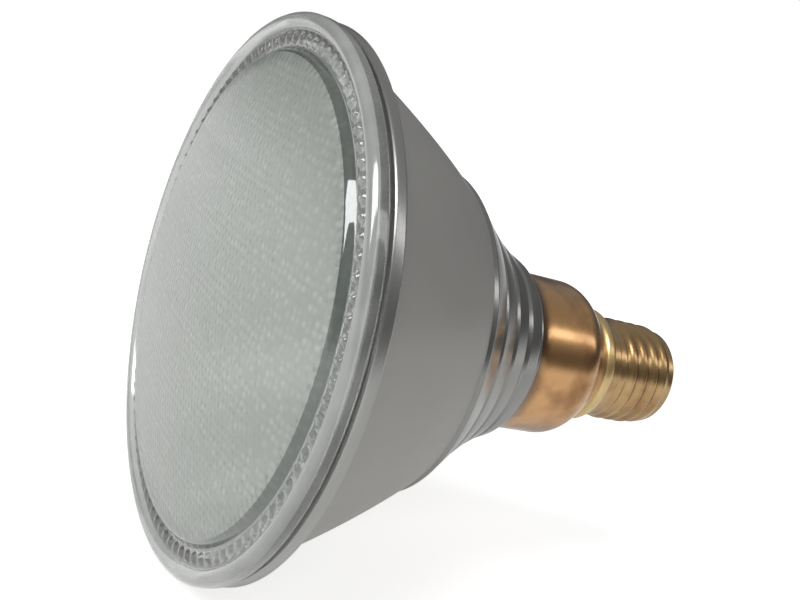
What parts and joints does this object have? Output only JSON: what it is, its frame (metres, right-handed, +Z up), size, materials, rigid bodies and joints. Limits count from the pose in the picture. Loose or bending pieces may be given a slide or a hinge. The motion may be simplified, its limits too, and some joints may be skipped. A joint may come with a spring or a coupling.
{
  "type": "reflector spotlight bulb",
  "caption": "Parabolic glass reflector bulb with a stippled lens, ribbed neck and a brass skirted Edison screw cap, used as a spotlight in a lampholder.",
  "frame": {"origin": "tip of the centre contact, on the lamp's axis, where the lampholder's spring contact meets it", "axes": "+Y along the lamp's axis from the lens to the cap, the way it is screwed in; +Z up; +X to the side"},
  "size_m": [0.121, 0.132, 0.121],
  "materials": {
    "lens_glass": "clear pressed glass, stippled inside, gloss",
    "reflector_glass": "pressed glass with a metal film inside, satin silver seen from outside",
    "seal_cement": "pale grey, matt",
    "quartz": "clear, gloss",
    "tungsten": "dull grey metal",
    "nickel_wire": "satin",
    "cap_brass": "satin, rolled sheet",
    "cap_cement": "matt, chalky",
    "black_glass": "opaque black glass, gloss",
    "solder": "dull tin"
  },
  "bodies": {
    "root": {"lens": "lens_glass", "rim_seal": "seal_cement", "reflector": "reflector_glass", "capsule": "quartz", "filament": "tungsten", "press_foils": "tungsten", "capsule_pins": "nickel_wire", "support_posts": "nickel_wire", "ferrules": "nickel_wire", "cap_skirt": "cap_brass", "cap_cement": "cap_cement", "screw_shell": "cap_brass", "cap_insulator": "black_glass", "centre_contact": "cap_brass", "centre_lead": "nickel_wire", "side_lead": "nickel_wire", "contact_solder": "solder", "side_solder": "solder"}
  },
  "joints": []
}
